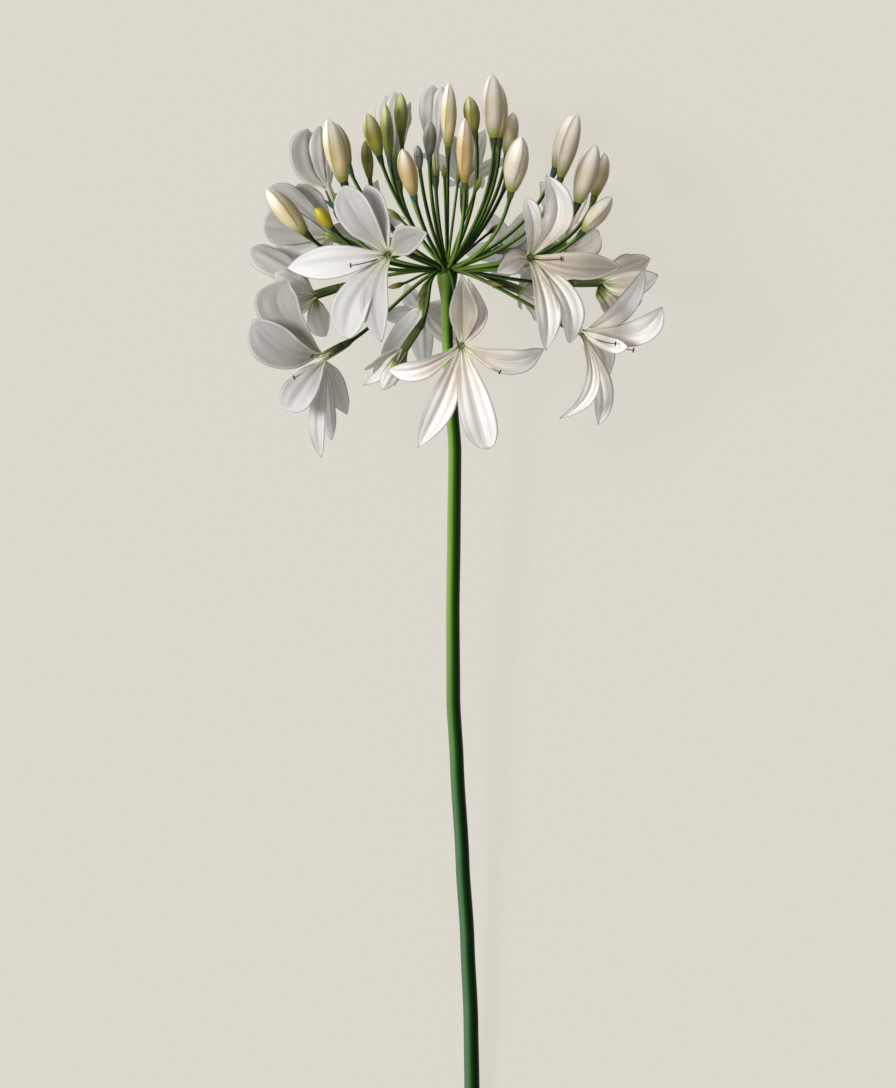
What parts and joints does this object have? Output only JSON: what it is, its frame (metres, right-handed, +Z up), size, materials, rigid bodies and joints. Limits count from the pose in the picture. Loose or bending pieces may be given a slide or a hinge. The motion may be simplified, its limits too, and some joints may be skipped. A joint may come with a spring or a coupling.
{
  "type": "agapanthus flower",
  "caption": "White agapanthus lying on its back: a round head of open trumpet flowers and closed buds on green stalks, on one long leafless cut stem.",
  "frame": {"origin": "centre of the flower's footprint, on the surface it lies on", "axes": "+Y along the stem from the cut end to the buds, +Z up and out of the face of the head, +X to the right across the head seen from above"},
  "size_m": [0.1868, 0.4906, 0.1348],
  "materials": {
    "stem_green": "satin",
    "stalk_green": "satin",
    "petal_white": "satin",
    "bud_white": "satin",
    "bud_cream": "satin",
    "bud_peach": "satin",
    "bud_olive": "satin",
    "bud_green": "satin",
    "bud_grey": "satin",
    "bud_yellow": "satin"
  },
  "bodies": {
    "root": {"stem": "stem_green", "flower_stalks": "stalk_green", "bloom_front_left": "petal_white", "bloom_front_right": "petal_white", "bloom_front_low": "petal_white", "bloom_right_low": "petal_white", "bloom_left_low": "petal_white", "bloom_right_rear": "petal_white", "bloom_left_middle": "petal_white", "bloom_left_rear": "petal_white", "bloom_left_half_open": "petal_white", "bloom_top_half_open": "petal_white", "bloom_upper_left_half_open": "petal_white", "bloom_right_upper_rear": "petal_white", "bloom_stem_right": "petal_white", "bloom_stem_left": "petal_white", "bloom_back_low": "petal_white", "bloom_back_left": "petal_white", "bloom_back_top": "petal_white", "bloom_back_right": "petal_white", "bud_left_low": "bud_cream", "bud_left_small": "bud_yellow", "bud_left_high": "bud_cream", "bud_left_high_rear": "bud_cream", "bud_olive_left": "bud_olive", "bud_green_slender": "bud_green", "bud_green_high": "bud_green", "bud_pale_rear": "bud_olive", "bud_peach_front": "bud_peach", "bud_grey_small": "bud_grey", "bud_grey_middle": "bud_grey", "bud_cream_tall": "bud_cream", "bud_olive_top": "bud_olive", "bud_peach_middle": "bud_peach", "bud_white_top": "bud_white", "bud_white_top_rear": "bud_cream", "bud_cream_right_rear": "bud_cream", "bud_white_right_front": "bud_white", "bud_right_high": "bud_white", "bud_right_high_rear": "bud_white", "bud_right_middle": "bud_white", "bud_right_middle_rear": "bud_cream", "bud_right_low": "bud_white", "bud_back_top": "bud_cream", "bud_back_left": "bud_olive", "bud_back_right": "bud_green"}
  },
  "joints": []
}
